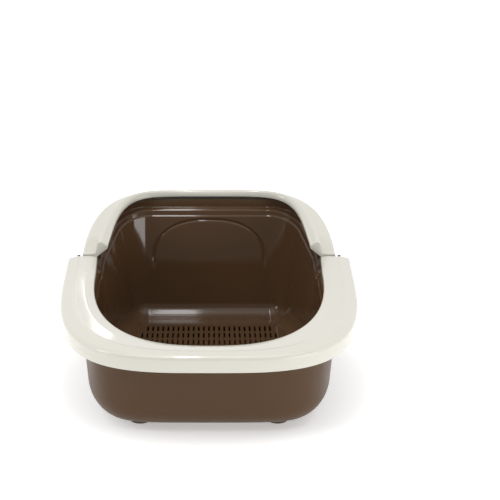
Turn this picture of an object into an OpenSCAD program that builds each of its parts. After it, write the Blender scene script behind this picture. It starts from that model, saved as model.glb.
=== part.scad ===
// Open litter box with a raised hood behind: outer tray, lift-out sieve tray, front collar, rear hood.
// Millimetres. X right, Y to the back, Z up. Origin on the floor, under the middle of the box.

/* [Overall] */
// Length, front skirt to the back of the hood
box_length = 486; // [460:2:510]
// Width across the front collar
box_width = 386; // [380:2:400]
// Height of the collar's ridge at the front, over the floor
front_height = 118; // [114:1:122]
// Height of the hood's crest at the back
back_height = 205; // [200:1:210]
// Rise of the collar for each millimetre towards the back
collar_rise = 0.088; // [0.08:0.002:0.094]

/* [Collar and hood] */
// Wall of the collar and the hood
rim_wall = 2.6; // [2:0.1:3.2]
// Depth of the collar's skirt under its ridge
skirt_depth = 21.5; // [19:0.5:24]
// Place of the step between collar and hood, along the length
step_y = 92; // [86:1:98]
// Height of the hood's crest over the floor at the step
step_height = 164; // [160:1:168]
// Gap between the collar's end and the hood's nose
end_gap = 0.8; // [0.5:0.1:1.5]

/* [Outer tray] */
// Wall of both trays
tray_wall = 2.4; // [2:0.1:3]
// Half width of the outer tray under its flange
tub_half_width = 164; // [162:1:166]
// Radius of the outer tray's bottom edge
tub_bottom_radius = 38; // [32:1:42]
// Height of the outer tray's underside over the floor
foot_height = 6.5; // [5:0.5:8]

/* [Sieve tray] */
// Height of the sieve floor's top face
sieve_floor = 26; // [22:1:32]
// Width of one slot
slot_width = 2.2; // [2:0.2:3.6]
// Length of one slot
slot_length = 24; // [16:1:26]
// Distance between slots, side to side
slot_pitch = 7.2; // [6.6:0.2:9]
// Distance between rows of slots, front to back
row_pitch = 29; // [28:1:36]

/* [Hidden] */

brown = "#58463a";
dark_brown = "#33261d";
ivory = "#e8e6da";

front_y = -box_length / 2;
back_y = box_length / 2;
widest_y = 34;
fit_gap = 0.4;

// ---- small helpers ----
function lerp(a, b, t) = a + (b - a) * t;
function clamp(t) = min(1, max(0, t));
function ease(t) = let (c = clamp(t)) c * c * (3 - 2 * c);
function power(base, e) = sign(base) * pow(abs(base), e);
function unit(v) = v / norm(v);

// An outline is a superellipse, seen from its middle at the widest place of the box: the direction a is 0 at
// the right, 90 at the back and 270 at the front.
// shape = [half width, front y, back y, front exponent, back exponent, taper of the back half]
function reach(a, shape) = sin(a) >= 0 ? shape[2] - widest_y : widest_y - shape[1];
function exponent(a, shape) = sin(a) >= 0 ? shape[4] : shape[3];
function oval(a, shape) =
    let (n = exponent(a, shape),
         r = pow(pow(abs(cos(a)) / shape[0], n) + pow(abs(sin(a)) / reach(a, shape), n), -1 / n))
    [r * cos(a) * (1 - shape[5] * max(0, r * sin(a))), widest_y + r * sin(a)];

// Its outward normal
function oval_normal(a, shape) =
    let (p = oval(a, shape), e = exponent(a, shape) - 1)
    unit([power(p[0] / shape[0], e) / shape[0],
          power((p[1] - widest_y) / reach(a, shape), e) / reach(a, shape)]);

// The direction in which the back half of an outline passes y
function angle_at(y, shape) =
    let (n = shape[4], share = (y - widest_y) / (shape[2] - widest_y))
    atan2(y - widest_y, shape[0] * pow(1 - pow(share, n), 1 / n));

// A profile pushed sideways by t, to its left
function left_of(p, q) = let (d = q - p) [-d[1], d[0]] / norm(d);
function pushed(path, t) =
    let (n = len(path) - 1)
    [for (i = [0:n])
        let (before = left_of(path[max(i - 1, 0)], path[max(i, 1)]),
             after = left_of(path[min(i, n - 1)], path[min(i + 1, n)]))
        path[i] + t * (before + after) / (1 + before * after)];

// A thin shell between two grids of points, given as rows of equal length.
// closed: the rows run right round the box; otherwise the first and the last row get an end face.
// capped: the first column is closed by a flat face; otherwise by an edge strip, as the last column is.
module shell(near, far, closed, capped) {
    rows = len(near);
    cols = len(near[0]);
    half = rows * cols;
    last = closed ? rows - 1 : rows - 2;
    function at(r, c) = (r % rows) * cols + c;
    function quad(a, b, c, d) = [[a, b, c], [a, c, d]];
    points = [for (r = near) each r, for (r = far) each r];
    faces = [
        for (r = [0:last], c = [0:cols - 2])
            each concat(
                quad(at(r, c), at(r, c + 1), at(r + 1, c + 1), at(r + 1, c)),
                quad(half + at(r, c), half + at(r + 1, c), half + at(r + 1, c + 1), half + at(r, c + 1))),
        for (r = [0:last], c = [cols - 1])
            each quad(at(r, c), half + at(r, c), half + at(r + 1, c), at(r + 1, c)),
        if (!capped) for (r = [0:last])
            each quad(at(r, 0), at(r + 1, 0), half + at(r + 1, 0), half + at(r, 0)),
        if (capped) [for (r = [0:rows - 1]) at(r, 0)],
        if (capped) [for (r = [rows - 1:-1:0]) half + at(r, 0)],
        if (!closed) for (c = [0:cols - 2])
            each concat(
                quad(at(0, c), half + at(0, c), half + at(0, c + 1), at(0, c + 1)),
                quad(at(last + 1, c), at(last + 1, c + 1), half + at(last + 1, c + 1), half + at(last + 1, c)))
    ];
    polyhedron(points, faces);
}

// ---- heights along the length ----
function collar_z(y) = front_height + collar_rise * (y - front_y);
crest_run = back_y - 23 - step_y;
function crest_z(y) = lerp(step_height, back_height, clamp((y - step_y) / crest_run));

// ---- outer tray ----
flange_drop = 12;
tub_top = front_height - flange_drop - 2 * tray_wall - fit_gap;
tub_shape = [tub_half_width, front_y + 29, back_y - 20, 4.6, 4, 0];
tub_straight = 50;
tub_lean = 0.13 * (tub_top - tub_straight);
tub_steps = 72;
// u is measured outwards from the top of the wall, v is the height before the top is tilted
tub_profile = [
    for (t = [0:15:90])
        [tub_bottom_radius * (sin(t) - 1) - tub_lean, foot_height + tub_bottom_radius * (1 - cos(t))],
    [-tub_lean * 0.4, lerp(tub_straight, tub_top, 0.6)],
    [0, tub_top - 12],
    [0.4, tub_top],
    [6, tub_top],
    [6.4, tub_top - 5]
];
function tub_point(a, p) =
    let (xy = oval(a, tub_shape) + p[0] * oval_normal(a, tub_shape),
         tilt = clamp((p[1] - tub_straight) / (tub_top - 12 - tub_straight)))
    [xy[0], xy[1], p[1] + collar_rise * (xy[1] - front_y) * tilt];
function tub_grid(profile) =
    [for (i = [0:tub_steps - 1]) [for (p = profile) tub_point(360 * i / tub_steps, p)]];

module outer_tray() {
    color(brown) shell(tub_grid(tub_profile), tub_grid(pushed(tub_profile, tray_wall)), true, true);
}

// ---- feet ----
foot_x = 86;
foot_y = 152;
foot_radius = 14;
module foot(side, end) {
    color(dark_brown) translate([side * foot_x, end * foot_y, 0])
        cylinder(h = foot_height, r1 = foot_radius - 1.5, r2 = foot_radius, $fn = 48);
}
module foot_front_left() { foot(-1, -1); }
module foot_front_right() { foot(1, -1); }
module foot_rear_left() { foot(-1, 1); }
module foot_rear_right() { foot(1, 1); }

// ---- sieve tray ----
// An outline with its normals, [x, y, nx, ny]: straight at the widest point, then a bend and a corner
// to the back on each side, and the front of an oval. bend and corner are [x, y, radius].
function arc(before, at, after, radius, steps) =
    let (in = unit(at - before), out = unit(after - at),
         n1 = [in[1], -in[0]], n2 = [out[1], -out[0]],
         centre = at - radius * (n1 + n2) / (1 + n1 * n2),
         from = atan2(n1[1], n1[0]), turn = acos(n1 * n2))
    [for (i = [0:steps]) let (a = from + turn * i / steps, n = [cos(a), sin(a)])
        [each (centre + radius * n), n[0], n[1]]];
function filled(p, q, steps) = [for (i = [1:steps - 1]) lerp(p, q, i / steps)];
function xy(p) = [p[0], p[1]];
function sieve_outline(shape, bend, corner) =
    let (start = [shape[0], widest_y, 1, 0],
         b = arc(xy(start), xy(bend), xy(corner), bend[2], 4),
         c = arc(xy(bend), xy(corner), [-corner[0], corner[1]], corner[2], 8),
         right = concat([start], filled(start, b[0], 3), b, filled(b[4], c[0], 6), c),
         back = filled(c[8], [-c[8][0], c[8][1], -c[8][2], c[8][3]], 6),
         left = [for (i = [len(right) - 1:-1:0]) let (p = right[i]) [-p[0], p[1], -p[2], p[3]]],
         front = [for (i = [1:35]) let (a = 180 + 5 * i) [each oval(a, shape), each oval_normal(a, shape)]])
    concat(right, back, left, front);

sieve_gap = 1;
inset = tray_wall * 2 + sieve_gap;
sieve_low = sieve_outline([139, front_y + 54, 0, 4, 0, 0], [139, 60, 150], [103, back_y - 51, 22]);
sieve_high = sieve_outline([tub_half_width - inset, tub_shape[1] + inset, 0, 4.2, 0, 0],
                           [tub_half_width - inset, step_y - 6, 100], [126.5, back_y - 20.5, 60]);

// The flange follows the collar in front of the step and the hood behind it
function behind_step(y) = ease((y - step_y - 3) / 14);
function flange_z(y) = lerp(collar_z(y), crest_z(y) - 1, behind_step(y)) - flange_drop;
function flange_width(y) = lerp(11, 4, behind_step(y));

// A point of the wall: k runs from the floor (0) to the flange (1), u is pushed outwards, w is added to the height
function sieve_point(i, u, k, w) =
    let (at = lerp(xy(sieve_low[i]), xy(sieve_high[i]), k),
         n = unit(lerp([sieve_low[i][2], sieve_low[i][3]], [sieve_high[i][2], sieve_high[i][3]], k)))
    [at[0] + u * n[0], at[1] + u * n[1], lerp(sieve_floor, flange_z(sieve_high[i][1]), k) + w];
ledge = 9;
// The wall's foot is a fillet, which starts at the floor's edge and ends where the wall leans out
sieve_fillet = 21;
foot_lean = 2.7;
floor_edge = foot_lean - sieve_fillet;
function sieve_row(i, t) =
    let (width = flange_width(sieve_high[i][1]), r = sieve_fillet + t)
    [for (f = [0:27:81]) sieve_point(i, floor_edge + r * sin(f), 0, sieve_fillet - r * cos(f)),
     sieve_point(i, -ledge * 0.55 + t, 0.6, 0),
     sieve_point(i, -ledge + t, 1, -24),
     sieve_point(i, -ledge + 2 + t, 1, -22.5 - t * 0.7),
     sieve_point(i, -ledge + 3 + t, 1, -16 - t * 0.7),
     sieve_point(i, -0.2 + t, 1, -12 - t * 0.7),
     sieve_point(i, -0.2 + t, 1, -t),
     sieve_point(i, width, 1, -t)];
function sieve_skin(i) =
    let (width = flange_width(sieve_high[i][1]), row = sieve_row(i, 0))
    [for (j = [0:8]) row[j], sieve_point(i, -0.2, 1, 0), sieve_point(i, width, 1, 0)];

ear_y = step_y - 4.7;
ear_depth = 5;
ear_start = tub_half_width;
ear_end = box_width / 2 - 12;
ear_width = 4.5;

// Half width of the slotted area at y
function slotted(y) = lerp(112, 88, clamp((y - 20) / 110)) - 16 * pow(clamp((-y - 60) / 70), 2);
module slots() {
    for (row = [-5:4]) {
        y = (row + 0.5) * row_pitch;
        count = floor(slotted(y) / slot_pitch);
        for (i = [-count:count])
            translate([i * slot_pitch - slot_width / 2, y - slot_length / 2])
                square([slot_width, slot_length]);
    }
}
// An ear on each side stands in the gap between the collar's end and the hood
module ear(side) {
    base = flange_z(ear_y) - tray_wall;
    translate([side > 0 ? ear_start : -ear_end, ear_y - ear_depth / 2, base])
        cube([ear_end - ear_start, ear_depth, tray_wall]);
    translate([side > 0 ? ear_end - ear_width : -ear_end, ear_y - ear_depth / 2, base])
        cube([ear_width, ear_depth, collar_z(ear_y) - 0.3 - base]);
}
module sieve_tray() {
    last = len(sieve_low) - 1;
    color(brown) {
        ear(1);
        ear(-1);
        shell([for (i = [0:last]) sieve_row(i, tray_wall)], [for (i = [0:last]) sieve_skin(i)], true, false);
        translate([0, 0, sieve_floor - tray_wall + 0.2])
            linear_extrude(tray_wall - 0.4)
                difference() {
                    polygon([for (i = [0:last]) xy(sieve_point(i, floor_edge + 0.5, 0, 0))]);
                    slots();
                }
    }
}

// ---- front collar ----
// Each station goes from the skirt (outer outline) to the lip of the opening (inner outline)
end_angle = 12;
function collar_outline(a, half, front, exponent, back, grow) =
    let (k = (cos(a) > 0 ? a : -180 - a) / end_angle)
    k >= 0 ? [sign(cos(a)) * (half + grow * k), widest_y + (back - widest_y) * k]
                : oval(a, [half, front, 0, exponent, 0, 0]);
collar_end = step_y - end_gap;
function collar_outer(a) = collar_outline(a, box_width / 2, front_y, 3.4, collar_end - 12, 0);
function collar_inner(a) = collar_outline(a, 152, front_y + 40, 2.55, collar_end, 1.5);
// [share of the way in, height over the ridge]
collar_profile = [
    [0, -skirt_depth], [0, -5.5], [0.02, -3.2], [0.08, -1.3], [0.28, -0.3], [0.31, 0], [0.36, 0], [0.41, -0.7],
    [0.74, -1.6], [0.9, -3], [0.98, -4], [1, -5.2], [1, -13]
];
collar_steps = 68;
function collar_row(a, depth) =
    let (o = collar_outer(a), i = collar_inner(a), width = norm(i - o), in = (i - o) / width,
         path = pushed([for (p = collar_profile) [p[0] * width, p[1]]], -depth))
    [for (p = path) let (at = o + in * p[0]) [at[0], at[1], collar_z(at[1]) + p[1]]];
// Short ribs under the collar and the hood stand on the sieve tray's flange, on both sides of the box
rib_gap = 0.5;
rib_thick = 3;
module ribs(x, y, size_x, size_y, low, high) {
    for (side = [-1, 1])
        translate([side * x - size_x / 2, y - size_y / 2, low])
            cube([size_x, size_y, high - low]);
}
module collar_ribs(x, y, size_x, size_y) {
    ribs(x, y, size_x, size_y, collar_z(y + size_y / 2) - flange_drop + rib_gap, collar_z(y) - 3.3);
}
module front_collar() {
    angles = [for (i = [0:collar_steps]) lerp(-180 - end_angle, end_angle, i / collar_steps)];
    color(ivory) {
        shell([for (a = angles) collar_row(a, 0)], [for (a = angles) collar_row(a, rim_wall)], false, false);
        collar_ribs(50, -214.5, rib_thick, 7);
        collar_ribs(162, -90, 6, rib_thick);
        collar_ribs(163.5, 50, 7, rib_thick);
    }
}

// ---- rear hood ----
hood_foot = [179, 0, back_y, 0, 4.6, 0];
hood_shoulder = [175, 0, back_y - 6, 0, 3.1, 0];
hood_lip = [146, 0, back_y - 23, 0, 5.8, 0.0008];
function hood_outline(t, shape) =
    let (start = angle_at(step_y, shape)) oval(lerp(start, 180 - start, t), shape);
// Drop of the shoulder under the crest, more at the sides than behind
function shoulder_drop(y) = lerp(lerp(17.5, 14, ease((y - step_y) / 30)), 6, ease((y - step_y) / 100));
// [share of the way from shoulder to lip, share of the drop, the same at the step, where the shoulder is scooped]
hood_profile = [[0.1, 0.72, 0.98], [0.3, 0.5, 0.96], [0.5, 0.3, 0.9], [0.58, 0.22, 0.35], [0.62, 0.06, 0.08],
                [0.7, 0, 0], [0.84, 0, 0], [0.95, 0.1, 0.1]];
hood_steps = 60;
function hood_row(t, depth) =
    let (f = hood_outline(t, hood_foot), s = hood_outline(t, hood_shoulder), l = hood_outline(t, hood_lip),
         width = norm(l - s), in = (l - s) / width, top = crest_z(l[1]), drop = shoulder_drop(s[1]),
         scoop = 1 - ease((s[1] - step_y) / 28), foot_out = (f - s) * in,
         low = collar_z(f[1]) - skirt_depth - 5 * ease((f[1] - step_y) / 60) - top,
         path = pushed(concat([[foot_out, low], [foot_out * 0.3, -drop - 9], [0, -drop]],
                              [for (p = hood_profile) [p[0] * width, -lerp(p[1], p[2], scoop) * drop]],
                              [[width, -3.5], [width, -9]]), -depth))
    [for (p = path) let (at = s + in * p[0]) [at[0], at[1], top + p[1]]];
// The nose closes the hood's front end, down to the collar's opening edge
module nose(side) {
    row = hood_row(0, 0.3);
    tip = collar_inner(end_angle);
    translate([0, step_y + rim_wall, 0]) rotate([90, 0, 0])
        linear_extrude(rim_wall)
            polygon([for (p = concat([for (j = [2:len(row) - 1]) row[j]],
                                     [[tip[0], 0, collar_z(step_y) - 4], [tip[0] + 2, 0, collar_z(step_y) - 8],
                                      [row[2][0], 0, collar_z(step_y) - 8]]))
                     [side * p[0], p[2]]]);
}
module hood_ribs(x, y, size_x, size_y, depth) {
    ribs(x, y, size_x, size_y, crest_z(y + size_y / 2) - 1 - flange_drop + rib_gap, crest_z(y) - depth);
}
module rear_hood() {
    color(ivory) {
        shell([for (i = [0:hood_steps]) hood_row(i / hood_steps, 0)],
              [for (i = [0:hood_steps]) hood_row(i / hood_steps, rim_wall)], false, false);
        nose(1);
        nose(-1);
        hood_ribs(145.6, 150, 2.8, rib_thick, 3.5);
        hood_ribs(60, 224.7, rib_thick, 3, 1.5);
    }
}

outer_tray();
foot_front_left();
foot_front_right();
foot_rear_left();
foot_rear_right();
sieve_tray();
front_collar();
rear_hood();
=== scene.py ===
"""Litter box with a raised rear hood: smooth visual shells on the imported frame, plastics, light and camera.

Lengths are in millimetres until a mesh is built, which scales them to metres.
X is to the right, Y to the back, Z up, with the origin on the floor under the middle of the box.
"""
import math

import bmesh
import bpy
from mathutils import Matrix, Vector
from mathutils.geometry import tessellate_polygon


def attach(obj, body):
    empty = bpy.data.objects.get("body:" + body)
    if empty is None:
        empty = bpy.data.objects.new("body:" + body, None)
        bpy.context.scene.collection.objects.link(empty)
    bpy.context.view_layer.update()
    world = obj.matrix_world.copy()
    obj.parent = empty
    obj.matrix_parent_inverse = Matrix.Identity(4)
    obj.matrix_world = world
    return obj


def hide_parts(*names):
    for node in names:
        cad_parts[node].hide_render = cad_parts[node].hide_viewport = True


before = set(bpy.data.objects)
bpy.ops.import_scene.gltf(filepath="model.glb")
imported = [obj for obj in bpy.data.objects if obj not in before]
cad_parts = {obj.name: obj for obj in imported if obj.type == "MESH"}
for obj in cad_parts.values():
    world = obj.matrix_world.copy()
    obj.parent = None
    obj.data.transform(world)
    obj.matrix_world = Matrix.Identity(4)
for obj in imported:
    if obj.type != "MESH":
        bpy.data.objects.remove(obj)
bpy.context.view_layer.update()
scene = bpy.context.scene
MM = 0.001

# ---- the box's own dimensions ----
FRONT_Y = -243.0
BACK_Y = 243.0
WIDEST_Y = 34.0
COLLAR_HALF = 193.0
OPENING_HALF = 152.0
TUB_HALF = 164.0
FRONT_HEIGHT = 118.0
BACK_HEIGHT = 205.0
COLLAR_RISE = 0.088
STEP_Y = 92.0
STEP_HEIGHT = 164.0
SKIRT_DEPTH = 21.5
RIM_WALL = 2.6
TRAY_WALL = 2.4
FLANGE_DROP = 12.0
FOOT_HEIGHT = 6.5
SIEVE_FLOOR = 26.0
LIP_BACK = BACK_Y - 23
CREST_RUN = LIP_BACK - STEP_Y


# ---- small helpers ----
def lerp(a, b, t):
    return a + (b - a) * t


def clamp(t):
    return min(1.0, max(0.0, t))


def ease(t):
    c = clamp(t)
    return c * c * (3 - 2 * c)


def power(base, e):
    return math.copysign(abs(base) ** e, base)


def point(xy, z):
    return Vector((xy[0], xy[1], z))


def collar_z(y):
    return FRONT_HEIGHT + COLLAR_RISE * (y - FRONT_Y)


def crest_z(y):
    return lerp(STEP_HEIGHT, BACK_HEIGHT, clamp((y - STEP_Y) / CREST_RUN))


def oval(a, shape):
    """A point of a superellipse seen from its middle, in direction a.

    shape = (half width, front y, back y, front exponent, back exponent, taper of the back half)
    """
    half, front, back, n_front, n_back, taper = shape
    behind = math.sin(a) >= 0
    reach = back - WIDEST_Y if behind else WIDEST_Y - front
    n = n_back if behind else n_front
    r = (abs(math.cos(a) / half) ** n + abs(math.sin(a) / reach) ** n) ** (-1 / n)
    return Vector((r * math.cos(a) * (1 - taper * max(0.0, r * math.sin(a))), WIDEST_Y + r * math.sin(a)))


def oval_normal(a, shape):
    half, front, back, n_front, n_back, _ = shape
    behind = math.sin(a) >= 0
    reach = back - WIDEST_Y if behind else WIDEST_Y - front
    e = (n_back if behind else n_front) - 1
    p = oval(a, shape)
    return Vector((power(p.x / half, e) / half, power((p.y - WIDEST_Y) / reach, e) / reach)).normalized()


def angle_at(y, shape):
    """The direction in which the back half of an outline passes y."""
    n = shape[4]
    share = (y - WIDEST_Y) / (shape[2] - WIDEST_Y)
    return math.atan2(y - WIDEST_Y, shape[0] * (1 - share**n) ** (1 / n))


def pushed(path, t):
    """A line of 2-D points pushed sideways by t, to its left, with mitred corners."""
    def left_of(p, q):
        d = (q - p).normalized()
        return Vector((-d.y, d.x))

    n = len(path) - 1
    out = []
    for i, p in enumerate(path):
        before = left_of(path[max(i - 1, 0)], path[max(i, 1)])
        after = left_of(path[min(i, n - 1)], path[min(i + 1, n)])
        out.append(p + (before + after) * (t / (1 + before.dot(after))))
    return out


def rounded(path, radii, steps=4):
    """Rounds the inner corners of a line of points. radii[i] is how far from corner i its bend starts."""
    out = [path[0]]
    for i in range(1, len(path) - 1):
        p = path[i]
        a = path[i - 1] - p
        b = path[i + 1] - p
        cut = min(radii[i], 0.48 * a.length, 0.48 * b.length)
        start = p + a.normalized() * cut
        end = p + b.normalized() * cut
        for k in range(steps + 1):
            t = k / steps
            out.append(start * (1 - t) ** 2 + p * (2 * t * (1 - t)) + end * t**2)
    out.append(path[-1])
    return out


def inset(loop, d):
    """A closed 2-D loop drawn in by d, whichever way round it runs."""
    n = len(loop)
    area = sum(loop[i - 1].x * loop[i].y - loop[i].x * loop[i - 1].y for i in range(n))
    side = 1 if area > 0 else -1
    out = []
    for i in range(n):
        run = (loop[(i + 1) % n] - loop[i - 1]).normalized()
        out.append(loop[i] + Vector((-run.y, run.x)) * (d * side))
    return out


def grid_faces(rows, cols, closed_rows, closed_cols):
    """Quads between neighbouring rows of points, which are numbered row by row."""
    faces = []
    for r in range(rows if closed_rows else rows - 1):
        s = (r + 1) % rows
        for c in range(cols if closed_cols else cols - 1):
            d = (c + 1) % cols
            faces.append((r * cols + c, r * cols + d, s * cols + d, s * cols + c))
    return faces


def end_rings(rows, cols):
    """Two faces with many corners, which close the first and the last column of a grid closed in rows."""
    return [tuple(r * cols for r in range(rows)), tuple(r * cols + cols - 1 for r in reversed(range(rows)))]


def build(name, points, faces, material, body, sharp=32):
    """A smooth-shaded piece made of points in millimetres, which rides on a body."""
    mesh = bpy.data.meshes.new(name)
    mesh.from_pydata([p * MM for p in points], [], faces)
    work = bmesh.new()
    work.from_mesh(mesh)
    bmesh.ops.recalc_face_normals(work, faces=work.faces)
    work.to_mesh(mesh)
    work.free()
    mesh.shade_smooth()
    mesh.set_sharp_from_angle(angle=math.radians(sharp))
    mesh.materials.append(material)
    obj = bpy.data.objects.new(name, mesh)
    scene.collection.objects.link(obj)
    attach(obj, body)
    return obj


# ---- materials ----
# Sizes of the noises, in repeats per metre
DRIFT_SCALE = 3.0
SCUFF_SCALE = 38.0
# Height of the moulded grain, in metres
GRAIN_HEIGHT = 0.0004
COAT_ROUGHNESS = 0.06


def plastic(name, light, dark, roughness, rough_spread, grain, grain_scale, coat=0.0, specular=0.5):
    """Moulded plastic: a slow drift between two close colours, patchy gloss, and a fine moulded grain."""
    material = bpy.data.materials.new(name)
    material.use_nodes = True
    nodes = material.node_tree.nodes
    links = material.node_tree.links
    shader = nodes["Principled BSDF"]
    coords = nodes.new("ShaderNodeTexCoord")

    def noise(scale, detail):
        texture = nodes.new("ShaderNodeTexNoise")
        texture.inputs["Scale"].default_value = scale
        texture.inputs["Detail"].default_value = detail
        links.new(coords.outputs["Object"], texture.inputs["Vector"])
        return texture.outputs["Fac"]

    tint = nodes.new("ShaderNodeMix")
    tint.data_type = "RGBA"
    tint.inputs[6].default_value = (*dark, 1)
    tint.inputs[7].default_value = (*light, 1)
    links.new(noise(DRIFT_SCALE, 4), tint.inputs[0])
    links.new(tint.outputs[2], shader.inputs["Base Color"])

    gloss = nodes.new("ShaderNodeMapRange")
    gloss.inputs["From Min"].default_value = 0.3
    gloss.inputs["From Max"].default_value = 0.7
    gloss.inputs["To Min"].default_value = roughness - rough_spread
    gloss.inputs["To Max"].default_value = roughness + rough_spread
    links.new(noise(SCUFF_SCALE, 6), gloss.inputs["Value"])
    links.new(gloss.outputs["Result"], shader.inputs["Roughness"])

    bump = nodes.new("ShaderNodeBump")
    bump.inputs["Strength"].default_value = grain
    bump.inputs["Distance"].default_value = GRAIN_HEIGHT
    links.new(noise(grain_scale, 3), bump.inputs["Height"])
    links.new(bump.outputs["Normal"], shader.inputs["Normal"])

    shader.inputs["Specular IOR Level"].default_value = specular
    shader.inputs["Coat Weight"].default_value = coat
    shader.inputs["Coat Roughness"].default_value = COAT_ROUGHNESS
    return material


IVORY = plastic("ivory_plastic", (0.615, 0.597, 0.525), (0.59, 0.572, 0.5),
                roughness=0.34, rough_spread=0.04, grain=0.015, grain_scale=500, coat=0.7)
TUB_BROWN = plastic("tub_plastic", (0.08, 0.041, 0.016), (0.07, 0.035, 0.013),
                    roughness=0.42, rough_spread=0.05, grain=0.12, grain_scale=1100, specular=0.25)
INNER_BROWN = plastic("inner_plastic", (0.09, 0.049, 0.025), (0.079, 0.043, 0.021),
                      roughness=0.07, rough_spread=0.02, grain=0.015, grain_scale=500, specular=0.3)
FOOT_BROWN = plastic("foot_plastic", (0.085, 0.056, 0.036), (0.07, 0.046, 0.03),
                     roughness=0.6, rough_spread=0.06, grain=0.2, grain_scale=1400)

# ---- outer tray ----
TUB_TOP = FRONT_HEIGHT - FLANGE_DROP - 2 * TRAY_WALL - 0.4
TUB_SHAPE = (TUB_HALF, FRONT_Y + 29, BACK_Y - 20, 4.6, 4.0, 0.0)
# Height from which the wall follows the collar's slope
TUB_STRAIGHT = 50.0
TUB_RADIUS = 38.0
TUB_LEAN = 0.13 * (TUB_TOP - TUB_STRAIGHT)
# From this height up the wall is nearly upright
TUB_NECK = TUB_TOP - 12
TUB_STEPS = 240
# (outwards from the top of the wall, height before the top is tilted)
TUB_PROFILE = [
    Vector((TUB_RADIUS * (math.sin(math.radians(t)) - 1) - TUB_LEAN,
            FOOT_HEIGHT + TUB_RADIUS * (1 - math.cos(math.radians(t)))))
    for t in range(0, 91, 9)
] + [
    Vector((-TUB_LEAN * 0.4, lerp(TUB_STRAIGHT, TUB_TOP, 0.6))),
    Vector((0, TUB_NECK)),
    Vector((0.4, TUB_TOP)),
    Vector((6, TUB_TOP)),
    Vector((6.4, TUB_TOP - 5)),
]


def tub_point(a, p):
    xy = oval(a, TUB_SHAPE) + oval_normal(a, TUB_SHAPE) * p.x
    tilt = clamp((p.y - TUB_STRAIGHT) / (TUB_NECK - TUB_STRAIGHT))
    return point(xy, p.y + COLLAR_RISE * (xy.y - FRONT_Y) * tilt)


def make_outer_tray():
    inner = pushed(TUB_PROFILE, TRAY_WALL)
    path = inner + TUB_PROFILE[::-1]
    soft = [6.0] * (len(TUB_PROFILE) - 4)
    radii = soft + [4.0, 1.6, 1.6, 1.0] + [1.0, 1.6, 1.6, 4.0] + soft
    points = []
    for i in range(TUB_STEPS):
        a = 2 * math.pi * i / TUB_STEPS
        points += rounded([tub_point(a, p) for p in path], radii)
    cols = len(points) // TUB_STEPS
    faces = grid_faces(TUB_STEPS, cols, True, False) + end_rings(TUB_STEPS, cols)
    return build("outer_tray_shell", points, faces, TUB_BROWN, "tub")


# (side, end) of each foot, in steps of FOOT_X and FOOT_Y
FEET = {"front_left": (-1, -1), "front_right": (1, -1), "rear_left": (-1, 1), "rear_right": (1, 1)}
FOOT_X = 86.0
FOOT_Y = 152.0
FOOT_RADIUS = 14.0
FOOT_DISH = 1.2
FOOT_STEPS = 64


def make_foot(name, x, y):
    """A round moulded foot: a shallow cone with a rounded rim and a dished underside."""
    profile = [Vector((0, FOOT_DISH)), Vector((8.5, FOOT_DISH)), Vector((9.5, 0)), Vector((12.3, 0)),
               Vector((13.3, 3.2)), Vector((FOOT_RADIUS, FOOT_HEIGHT + 1))]
    line = rounded(profile, [0, 1, 0.6, 1.0, 1.0, 0])[1:]
    points = []
    for i in range(FOOT_STEPS):
        a = 2 * math.pi * i / FOOT_STEPS
        points += [Vector((x + p.x * math.cos(a), y + p.x * math.sin(a), p.y)) for p in line]
    faces = grid_faces(FOOT_STEPS, len(line), True, False) + end_rings(FOOT_STEPS, len(line))
    return build(name, points, faces, FOOT_BROWN, "tub")


# ---- sieve tray ----
def arc(before, at, after, radius, steps):
    """A rounded corner of an outline that turns left: (place, outward normal) along it."""
    way_in = (at - before).normalized()
    way_out = (after - at).normalized()
    n1 = Vector((way_in.y, -way_in.x))
    n2 = Vector((way_out.y, -way_out.x))
    centre = at - (n1 + n2) * (radius / (1 + n1.dot(n2)))
    start = math.atan2(n1.y, n1.x)
    turn = math.acos(n1.dot(n2))
    out = []
    for i in range(steps + 1):
        a = start + turn * i / steps
        n = Vector((math.cos(a), math.sin(a)))
        out.append((centre + n * radius, n))
    return out


def filled(p, q, steps):
    """Evenly spaced places and normals between p and q."""
    return [(p[0].lerp(q[0], i / steps), p[1].lerp(q[1], i / steps)) for i in range(1, steps)]


BACK_STEPS = 170
FRONT_STEPS = 110


def sieve_outline(shape, bend, corner):
    """Straight at the widest place, then a bend and a corner to the back on each side; an oval in front."""
    start = (Vector((shape[0], WIDEST_Y)), Vector((1.0, 0.0)))
    b = arc(start[0], Vector(bend[:2]), Vector(corner[:2]), bend[2], 8)
    c = arc(Vector(bend[:2]), Vector(corner[:2]), Vector((-corner[0], corner[1])), corner[2], 26)
    right = [start] + filled(start, b[0], 5) + b + filled(b[-1], c[0], 12) + c
    left = [(Vector((-p.x, p.y)), Vector((-n.x, n.y))) for p, n in reversed(right)]
    back = filled(c[-1], left[0], BACK_STEPS)
    angles = [math.pi + math.pi * i / FRONT_STEPS for i in range(1, FRONT_STEPS)]
    front = [(oval(a, shape), oval_normal(a, shape)) for a in angles]
    return right + back + left + front


# Both trays' walls and 1 mm between them
SIEVE_INSET = TRAY_WALL * 2 + 1
SIEVE_LOW_HALF = 139.0
SIEVE_HIGH_HALF = TUB_HALF - SIEVE_INSET
SIEVE_LOW = sieve_outline((SIEVE_LOW_HALF, FRONT_Y + 54, 0, 4.0, 1.0, 0), (SIEVE_LOW_HALF, 60, 150),
                          (103, BACK_Y - 51, 22))
SIEVE_HIGH = sieve_outline((SIEVE_HIGH_HALF, TUB_SHAPE[1] + SIEVE_INSET, 0, 4.2, 1.0, 0),
                           (SIEVE_HIGH_HALF, STEP_Y - 6, 100), (126.5, BACK_Y - 20.5, 60))


def behind_step(y):
    """0 in front of the step, 1 behind it."""
    return ease((y - STEP_Y - 3) / 14)


def flange_z(y):
    return lerp(collar_z(y), crest_z(y) - 1, behind_step(y)) - FLANGE_DROP


def flange_width(y):
    return lerp(11, 4, behind_step(y))


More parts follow.
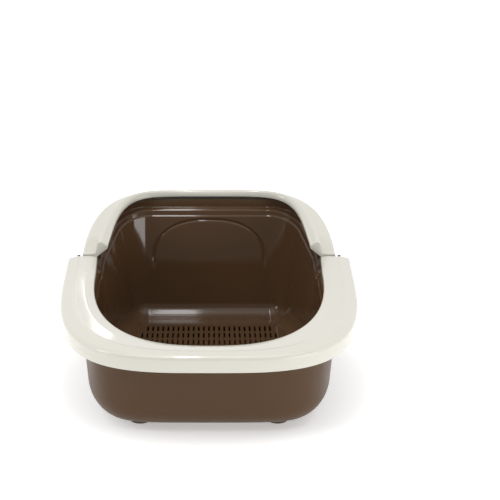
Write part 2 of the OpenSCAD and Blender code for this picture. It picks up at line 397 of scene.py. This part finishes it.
def sieve_point(i, u, k, w):
    """A place of the wall between floor (k = 0) and flange (k = 1), moved outwards by u and up by w."""
    low, low_n = SIEVE_LOW[i]
    high, high_n = SIEVE_HIGH[i]
    at = low.lerp(high, k) + low_n.lerp(high_n, k).normalized() * u
    return point(at, lerp(SIEVE_FLOOR, flange_z(high.y), k) + w)


# The wall over the ledge, outwards from the tray's upper outline
NECK = -0.2
# The ledge's bends, from below: (outwards from the upper outline, up from the flange)
LEDGE = [(-9.0, -24), (-7.0, -22.5), (-6.0, -16), (NECK, -12)]
SIEVE_FILLET = 21.0
# How far outside the lower outline the fillet would reach as a full quarter circle
FILLET_REACH = 2.7
FLOOR_EDGE = FILLET_REACH - SIEVE_FILLET
FOOT_POINTS = 13
# The wall is split into this many parts upwards, for the groove
WALL_STEPS = 100
# Keeps the shading of the wide floor flat right up to the fillet
FLAT_STRIP = 1.0
BACK_WALL_Y = 150.0
# The arch pressed into the back wall: half width, height of its feet, height of its top over them
ARCH = (80.0, 104.0, 59.0)
ARCH_EXPONENT = 2.4
# The arch's crown, where the distance to it is measured upwards, is twice this wide
CROWN_HALF = 50.0
GROOVE_DEPTH = 1.5
GROOVE_HALF = 1.5
# The groove fades in from this far under the arch's feet, over this height
GROOVE_START = 12.0
GROOVE_FADE = 26.0


def arch_groove(p):
    """Depth of the arched groove at a place of the back wall, in millimetres."""
    half, feet, top = ARCH
    if p.y < BACK_WALL_Y:
        return 0.0
    rise = max(0.0, p.z - feet)
    r = (abs(p.x / half) ** ARCH_EXPONENT + (rise / top) ** ARCH_EXPONENT) ** (1 / ARCH_EXPONENT)
    off = (r - 1) * (top if abs(p.x) < CROWN_HALF else half)
    fade = ease((p.z - feet + GROOVE_START) / GROOVE_FADE)
    return GROOVE_DEPTH * fade * math.exp(-((off / GROOVE_HALF) ** 2))


def sieve_foot(i, t):
    """A flat strip of floor, then the fillet at the wall's foot, up to where the wall leans out."""
    r = SIEVE_FILLET + t
    row = [sieve_point(i, FLOOR_EDGE - FLAT_STRIP, 0, -t)]
    for k in range(FOOT_POINTS):
        f = math.radians(7 * k)
        row.append(sieve_point(i, FLOOR_EDGE + r * math.sin(f), 0, SIEVE_FILLET - r * math.cos(f)))
    return row


def sieve_inner(i):
    """The visible skin of the wall: the fillet, the wall, the ledge and the flange."""
    width = flange_width(SIEVE_HIGH[i][0].y)
    foot = sieve_foot(i, 0)
    line = [foot[-1]] + [sieve_point(i, u, 1, w) for u, w in LEDGE]
    line += [sieve_point(i, NECK, 1, 0), sieve_point(i, width, 1, 0), sieve_point(i, width, 1, -TRAY_WALL)]
    return foot[:-1] + rounded(line, [0, 0.5, 0.6, 1.0, 1.0, 0.9, 0.8, 0], steps=6)


def sieve_outer(i):
    """The hidden skin, from the flange's edge back to the floor."""
    width = flange_width(SIEVE_HIGH[i][0].y)
    t = TRAY_WALL
    foot = sieve_foot(i, t)[::-1]
    line = [sieve_point(i, width, 1, -t), sieve_point(i, NECK + t, 1, -t)]
    line += [sieve_point(i, u + t, 1, w - t * 0.7) for u, w in reversed(LEDGE[1:])]
    line += [sieve_point(i, LEDGE[0][0] + t, 1, LEDGE[0][1]), foot[0]]
    return rounded(line, [0, 0.8, 1.5, 1.5, 1.0, 1.0, 0], steps=3) + foot[1:]


def split_long(row, at, parts):
    """Adds evenly spaced points in the long stretch after point number at."""
    extra = [row[at].lerp(row[at + 1], k / parts) for k in range(1, parts)]
    return row[:at + 1] + extra + row[at + 1:]


SLOT_WIDTH = 2.2
SLOT_LENGTH = 24.0
SLOT_PITCH = 7.2
ROW_PITCH = 29.0
SLOT_POINTS = 12
# How far the chamfer round a slot reaches outwards, and how deep it is
SLOT_CHAMFER = (0.35, 0.4)


def slotted(y):
    """Half width of the slotted area at y: less to the back, and less in the front corners."""
    return lerp(112, 88, clamp((y - 20) / 110)) - 16 * clamp((-y - 60) / 70) ** 2


def slot_loop(x, y):
    """The outline of a slot: long, narrow, with round ends."""
    half = SLOT_POINTS // 2
    r = SLOT_WIDTH / 2
    loop = []
    for k in range(SLOT_POINTS):
        a = math.pi * (k if k < half else k - 1) / (half - 1)
        end = 1 if k < half else -1
        middle = y + end * (SLOT_LENGTH - SLOT_WIDTH) / 2
        loop.append(Vector((x + r * math.cos(a), middle + r * math.sin(a))))
    return loop


def slot_loops():
    loops = []
    for row in range(-5, 5):
        y = (row + 0.5) * ROW_PITCH
        count = int(slotted(y) // SLOT_PITCH)
        loops += [slot_loop(i * SLOT_PITCH, y) for i in range(-count, count + 1)]
    return loops


def pierced_floor(points, faces, rim_in, rim_out):
    """Adds the floor's two faces inside the wall's two rims, and the slots that pierce it.

    rim_in and rim_out list the rims' points by number, on the upper and the lower face.
    """
    reach, depth = SLOT_CHAMFER
    upper = [rim_in]
    lower = [rim_out]
    for loop in slot_loops():
        start = len(points)
        points.extend(point(p, SIEVE_FLOOR) for p in inset(loop, -reach))
        points.extend(point(p, SIEVE_FLOOR - depth) for p in loop)
        points.extend(point(p, SIEVE_FLOOR - TRAY_WALL) for p in loop)
        faces.extend([start + v for v in face] for face in grid_faces(3, SLOT_POINTS, False, True))
        upper.append(range(start, start + SLOT_POINTS))
        lower.append(range(start + 2 * SLOT_POINTS, start + 3 * SLOT_POINTS))
    for rings in (upper, lower):
        outlines = [[Vector((points[v].x, points[v].y, 0)) for v in ring] for ring in rings]
        index = [v for ring in rings for v in ring]
        faces.extend([index[v] for v in tri] for tri in tessellate_polygon(outlines))


def make_sieve_tray():
    """The whole sieve tray, with the arch pressed into its back wall."""
    count = len(SIEVE_LOW)
    points = []
    for i in range(count):
        inner = split_long(sieve_inner(i), FOOT_POINTS, WALL_STEPS)
        out = SIEVE_LOW[i][1].lerp(SIEVE_HIGH[i][1], 0.7).normalized()
        points += [p + point(out, 0) * arch_groove(p) for p in inner]
        points += sieve_outer(i)[1:]
    cols = len(points) // count
    faces = grid_faces(count, cols, True, False)
    rim_in = [i * cols for i in range(count)]
    rim_out = [i * cols + cols - 1 for i in range(count)]
    pierced_floor(points, faces, rim_in, rim_out)
    return build("sieve_tray_shell", points, faces, INNER_BROWN, "sieve", sharp=30)


EAR_Y = STEP_Y - 4.7
EAR_DEPTH = 5.0
EAR_END = COLLAR_HALF - 12
EAR_WIDTH = 4.5
# (how far the outline is drawn in, how far behind the lug's front face)
EAR_LEVELS = [(0.5, 0), (0.15, 0.15), (0, 0.5)]
EAR_LEVELS += [(inward, EAR_DEPTH - at) for inward, at in reversed(EAR_LEVELS)]


def make_ear(name, side):
    """A small lug on the sieve tray's flange, in the gap between the collar's end and the hood."""
    base = flange_z(EAR_Y) - TRAY_WALL
    shelf = base + TRAY_WALL
    top = collar_z(EAR_Y) - 0.3
    hook = EAR_END - EAR_WIDTH
    outline = [Vector((TUB_HALF, base)), Vector((EAR_END, base)), Vector((EAR_END, top)),
               Vector((hook, top)), Vector((hook, shelf)), Vector((TUB_HALF, shelf))]
    line = rounded(outline + [outline[0]], [0, 0.8, 1.6, 1.6, 1.2, 0.5, 0], steps=3)[:-1]
    points = []
    for inward, at in EAR_LEVELS:
        points += [Vector((side * p.x, EAR_Y - EAR_DEPTH / 2 + at, p.y)) for p in inset(line, inward)]
    cols = len(line)
    last = (len(EAR_LEVELS) - 1) * cols
    faces = grid_faces(len(EAR_LEVELS), cols, False, True)
    faces += [tuple(range(cols)), tuple(reversed(range(last, last + cols)))]
    return build(name, points, faces, INNER_BROWN, "sieve")


# ---- front collar ----
END_ANGLE = math.radians(12)
COLLAR_END = STEP_Y - 0.8
SKIRT_END = COLLAR_END - 12


def collar_outline(a, half, front, exponent, back, grow):
    """The front half of an oval, drawn out to the back on both sides, where it grows wider by grow."""
    k = (a if math.cos(a) > 0 else -math.pi - a) / END_ANGLE
    if k >= 0:
        return Vector((math.copysign(half + grow * k, math.cos(a)), WIDEST_Y + (back - WIDEST_Y) * k))
    return oval(a, (half, front, 0, exponent, 1, 0))


def collar_outer(a):
    return collar_outline(a, COLLAR_HALF, FRONT_Y, 3.4, SKIRT_END, 0)


def collar_inner(a):
    return collar_outline(a, OPENING_HALF, FRONT_Y + 40, 2.55, COLLAR_END, 1.5)


# (share of the way in, height over the ridge, softness of the bend)
COLLAR_PROFILE = [
    (0, -SKIRT_DEPTH, 0.7), (0, -5.5, 2.5), (0.02, -3.2, 1.0), (0.08, -1.3, 1.2), (0.28, -0.3, 1.2),
    (0.31, 0, 0.8), (0.36, 0, 0.8), (0.41, -0.7, 1.2), (0.74, -1.6, 2.5), (0.9, -3, 3), (0.98, -4, 0.6),
    (1, -5.2, 0.6), (1, -13, 0.7),
]
# Radius of the rounding at the ends of the collar and the hood
END_RADIUS = 0.9


def thin_loop(path, soft, wall):
    """The closed outline of a thin wall along a path: its outer side, then its inner side."""
    inner = pushed(path, -wall)
    middle = path[0].lerp(inner[0], 0.5)
    return rounded([middle] + path + inner[::-1] + [middle], [0] + soft + soft[::-1] + [0])[1:-1]


def swept(steps, loop_at, place, end):
    """Rows of 3-D points along a run from 0 to 1, with rounded ends.

    loop_at(s) gives the 2-D loop at s, and place(s, p) says where its point p is in space.
    end is the share of the run that the rounding takes at each end.
    """
    turns = [math.radians(t) for t in (0, 20, 45, 70, 90)]

    def end_row(s, turn):
        return [place(s, p) for p in inset(loop_at(s), END_RADIUS * (1 - math.cos(turn)))]

    rows = [end_row(end * (1 - math.sin(turn)), turn) for turn in reversed(turns)]
    for k in range(steps + 1):
        if end < k / steps < 1 - end:
            rows.append([place(k / steps, p) for p in loop_at(k / steps)])
    return rows + [end_row(1 - end * (1 - math.sin(turn)), turn) for turn in turns]


def mesh_rows(rows):
    """A closed mesh of rows of thin-wall loops; each end is a strip between the wall's two sides."""
    cols = len(rows[0])
    points = [p for row in rows for p in row]
    faces = grid_faces(len(rows), cols, False, True)
    for first in (0, (len(rows) - 1) * cols):
        last = first + cols - 1
        faces += [(first + k, first + k + 1, last - k - 1, last - k) for k in range(cols // 2 - 1)]
    return points, faces


COLLAR_STEPS = 260
# Share of the collar's run that is about one millimetre long near its ends
COLLAR_MILLIMETRE = END_ANGLE / (math.pi + 2 * END_ANGLE) / 50


def collar_station(s):
    """The collar's frame at s: the place of its skirt, the way in, and the width."""
    a = lerp(-math.pi - END_ANGLE, END_ANGLE, s)
    skirt = collar_outer(a)
    across = collar_inner(a) - skirt
    return skirt, across / across.length, across.length


def make_front_collar():
    def loop_at(s):
        _, _, width = collar_station(s)
        path = [Vector((p[0] * width, p[1])) for p in COLLAR_PROFILE]
        return thin_loop(path, [p[2] for p in COLLAR_PROFILE], RIM_WALL)

    def place(s, p):
        skirt, way, _ = collar_station(s)
        at = skirt + way * p.x
        return point(at, collar_z(at.y) + p.y)

    points, faces = mesh_rows(swept(COLLAR_STEPS, loop_at, place, END_RADIUS * COLLAR_MILLIMETRE))
    return build("front_collar_shell", points, faces, IVORY, "collar", sharp=40)


# ---- rear hood ----
HOOD_FOOT = (179.0, 0.0, BACK_Y, 1.0, 4.6, 0.0)
HOOD_SHOULDER = (175.0, 0.0, BACK_Y - 6, 1.0, 3.1, 0.0)
HOOD_LIP = (146.0, 0.0, LIP_BACK, 1.0, 5.8, 0.0008)
HOOD_STEPS = 240
# Share of the hood's run that the rounding takes at each end
HOOD_END = 0.0022
# (share of the way from shoulder to lip, share of the drop, the same at the step, softness of the bend)
HOOD_PROFILE = [
    (0.1, 0.72, 0.98, 3), (0.3, 0.5, 0.96, 3), (0.5, 0.3, 0.9, 0.8), (0.58, 0.22, 0.35, 0.5),
    (0.62, 0.06, 0.08, 0.5), (0.68, 0, 0, 0.8), (0.76, 0, 0, 1.2), (0.92, 0.35, 0.2, 1.6),
]


def hood_outline(t, shape):
    start = angle_at(STEP_Y, shape)
    return oval(lerp(start, math.pi - start, t), shape)


def shoulder_drop(behind):
    """How far the shoulder lies under the crest, behind the step by so much: more at the sides."""
    return lerp(lerp(17.5, 14, ease(behind / 30)), 6, ease(behind / 100))


def hood_station(t):
    """The hood's frame at t: the shoulder's place, the way in, the crest's height, the path, its bends."""
    foot = hood_outline(t, HOOD_FOOT)
    shoulder = hood_outline(t, HOOD_SHOULDER)
    lip = hood_outline(t, HOOD_LIP)
    width = (lip - shoulder).length
    way = (lip - shoulder) / width
    top = crest_z(lip.y)
    drop = shoulder_drop(shoulder.y - STEP_Y)
    scoop = 1 - ease((shoulder.y - STEP_Y) / 28)
    foot_out = (foot - shoulder).dot(way)
    low = collar_z(foot.y) - SKIRT_DEPTH - 5 * ease((foot.y - STEP_Y) / 60) - top
    path = [Vector((foot_out, low)), Vector((foot_out * 0.3, -drop - 9)), Vector((0, -drop))]
    path += [Vector((p[0] * width, -lerp(p[1], p[2], scoop) * drop)) for p in HOOD_PROFILE]
    path += [Vector((width, -5.5)), Vector((width, -9))]
    soft = [0.7, 6, 6] + [p[3] for p in HOOD_PROFILE] + [1.4, 0.7]
    return shoulder, way, top, path, soft


def make_rear_hood():
    def loop_at(t):
        _, _, _, path, soft = hood_station(t)
        return thin_loop(path, soft, RIM_WALL)

    def place(t, p):
        shoulder, way, top, _, _ = hood_station(t)
        return point(shoulder + way * p.x, top + p.y)

    points, faces = mesh_rows(swept(HOOD_STEPS, loop_at, place, HOOD_END))
    return build("rear_hood_shell", points, faces, IVORY, "hood", sharp=40)


# (how far the outline is drawn in, how far behind the step)
NOSE_LEVELS = [(0.35, -0.6), (0.12, -0.5), (0.0, -0.2), (-0.02, 1.5), (-0.02, 3.2), (0.3, 3.4)]


def make_nose(name, side):
    """The closed front end of the hood, above the collar's end, with rounded edges."""
    shoulder, way, top, path, soft = hood_station(0.0)
    section = [Vector((abs((shoulder + way * p.x).x), top + p.y)) for p in path[2:]]
    tip = collar_inner(END_ANGLE).x
    edge = collar_z(STEP_Y)
    foot = edge - 8
    outline = section + [Vector((tip, edge - 4)), Vector((tip + 2.0, foot)), Vector((section[0].x, foot))]
    radii = [0.4] + soft[3:-1] + [1.0, 1.2, 0.8, 0.4]
    middle = outline[-1].lerp(outline[0], 0.5)
    loop = rounded([middle] + outline + [middle], [0] + radii + [0])[1:-1]
    points = []
    for inward, at in NOSE_LEVELS:
        points += [Vector((side * p.x, STEP_Y + at, p.y)) for p in inset(loop, inward)]
    cols = len(loop)
    faces = grid_faces(len(NOSE_LEVELS), cols, False, True)
    for first in (0, (len(NOSE_LEVELS) - 1) * cols):
        face = [Vector((p.x, p.z, 0)) for p in points[first:first + cols]]
        faces += [tuple(first + v for v in tri) for tri in tessellate_polygon([face])]
    return build(name, points, faces, IVORY, "hood", sharp=50)


# ---- the assembly ----
outer = make_outer_tray()
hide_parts("outer_tray")
for place_name, (side, end) in FEET.items():
    foot = make_foot("foot_" + place_name + "_disc", side * FOOT_X, end * FOOT_Y)
    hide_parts("foot_" + place_name)
sieve = make_sieve_tray()
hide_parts("sieve_tray")
make_ear("ear_left", -1)
make_ear("ear_right", 1)
collar = make_front_collar()
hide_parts("front_collar")
hood = make_rear_hood()
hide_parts("rear_hood")
make_nose("nose_left", -1)
make_nose("nose_right", 1)

# ---- floor, light and camera, in metres ----
scene.view_settings.view_transform = "Standard"


def make_floor():
    """A wide sheet of white paper, which glows a little so that it stays white round the shadow."""
    mesh = bpy.data.meshes.new("floor")
    mesh.from_pydata([(-4, -0.9, 0), (4, -0.9, 0), (4, 6, 0), (-4, 6, 0)], [], [(0, 1, 2, 3)])
    material = bpy.data.materials.new("floor_paper")
    material.use_nodes = True
    shader = material.node_tree.nodes["Principled BSDF"]
    shader.inputs["Base Color"].default_value = (0.9, 0.9, 0.9, 1)
    shader.inputs["Roughness"].default_value = 0.9
    shader.inputs["Emission Color"].default_value = (1, 1, 1, 1)
    shader.inputs["Emission Strength"].default_value = 0.4
    mesh.materials.append(material)
    floor = bpy.data.objects.new("floor", mesh)
    scene.collection.objects.link(floor)


def make_world():
    """Surrounding light that is dim in front of the box and bright behind it."""
    world = bpy.data.worlds.new("studio")
    scene.world = world
    world.use_nodes = True
    nodes = world.node_tree.nodes
    links = world.node_tree.links
    coords = nodes.new("ShaderNodeTexCoord")
    split = nodes.new("ShaderNodeSeparateXYZ")
    ramp = nodes.new("ShaderNodeMapRange")
    ramp.inputs["From Min"].default_value = -0.55
    ramp.inputs["From Max"].default_value = 0.1
    ramp.inputs["To Min"].default_value = 0.32
    ramp.inputs["To Max"].default_value = 0.95
    links.new(coords.outputs["Generated"], split.inputs["Vector"])
    links.new(split.outputs["Y"], ramp.inputs["Value"])
    links.new(ramp.outputs["Result"], nodes["Background"].inputs["Strength"])
    nodes["Background"].inputs["Color"].default_value = (1, 1, 1, 1)


def softbox(name, place, target, width, height, watts):
    """A rectangular lamp at a place, aimed at a target."""
    light = bpy.data.lights.new(name, "AREA")
    light.shape = "RECTANGLE"
    light.size = width
    light.size_y = height
    light.energy = watts
    obj = bpy.data.objects.new(name, light)
    obj.location = place
    obj.rotation_euler = (Vector(target) - Vector(place)).to_track_quat("-Z", "Y").to_euler()
    scene.collection.objects.link(obj)


make_floor()
make_world()
# The main light, above and in front
softbox("sky_box", (0, -0.85, 2.2), (0, -0.1, 0), 3.0, 1.9, 19)
softbox("left_box", (-1.5, -0.7, 1.0), (0.1, 0, 0.1), 0.5, 0.7, 6)
# Low at the right: it is reflected as a bright triangle in the left rear corner
softbox("right_box", (1.2, -1.1, 0.17), (-0.1, 0.2, 0.15), 1.15, 0.26, 7)
# Small and far behind: it is reflected on the collar's left front corner
softbox("patch_box", (-0.178, 1.18, 0.767), (-0.133, -0.167, 0.124), 0.032, 0.024, 0.012)
# Long and narrow, overhead: it is reflected as a streak along the foot of the back wall
softbox("streak_box", (-0.088, -0.3, 1.9), (-0.088, -0.299, 0), 0.115, 1.4, 6)

# How far the camera looks down, in degrees
CAMERA_TILT = 16.055
camera = bpy.data.cameras.new("camera")
camera.sensor_width = 36
camera.lens = 118.76
camera.shift_x = 0.082
camera.clip_end = 50
camera_object = bpy.data.objects.new("camera", camera)
camera_object.location = (0, -2.0873, 0.7798)
camera_object.rotation_euler = (math.radians(90 - CAMERA_TILT), 0, 0)
scene.collection.objects.link(camera_object)
scene.camera = camera_object
